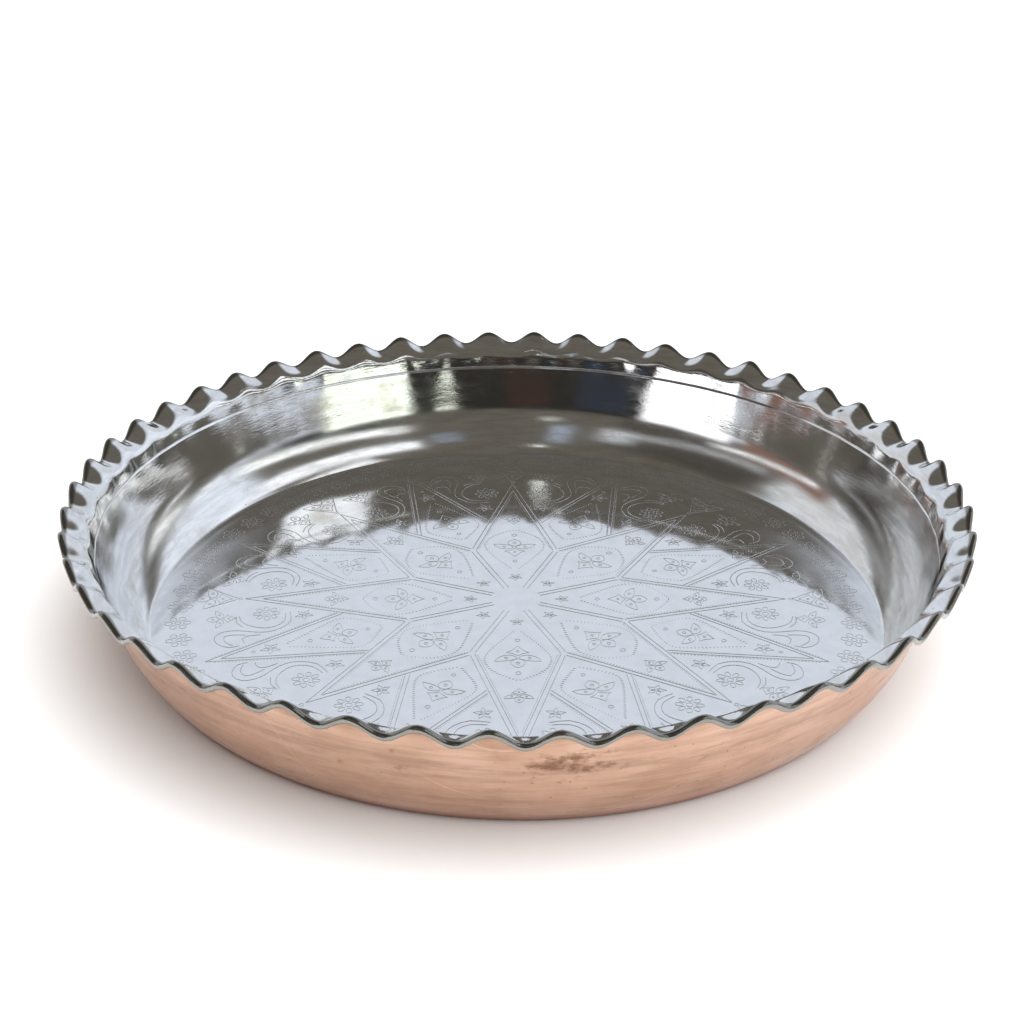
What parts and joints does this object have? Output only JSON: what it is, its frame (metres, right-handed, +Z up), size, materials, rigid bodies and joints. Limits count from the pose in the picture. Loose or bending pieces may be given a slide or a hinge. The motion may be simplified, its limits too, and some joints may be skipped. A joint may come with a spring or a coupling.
{
  "type": "fluted copper tray",
  "caption": "Round tinned copper serving tray with a flat engraved floor, a sloping wall and a flared, fluted and wired rim.",
  "frame": {"origin": "centre of the flat underside, on the plane that the tray stands on", "axes": "+Z up out of the open side, along the tray's turning axis; +X through the middle of a rim crest and the tip of a star point engraved on the floor"},
  "size_m": [0.3586, 0.3584, 0.054],
  "materials": {
    "bare_copper": "bare salmon-pink copper, satin from spinning and hand polishing, with light tarnish",
    "bright_tin": "wiped tin lining, bright and slightly wavy, engraved on the floor",
    "wire_steel": "dull drawn iron wire"
  },
  "bodies": {
    "root": {"copper_body": "bare_copper", "tin_lining": "bright_tin", "rim_wire": "wire_steel"}
  },
  "joints": []
}
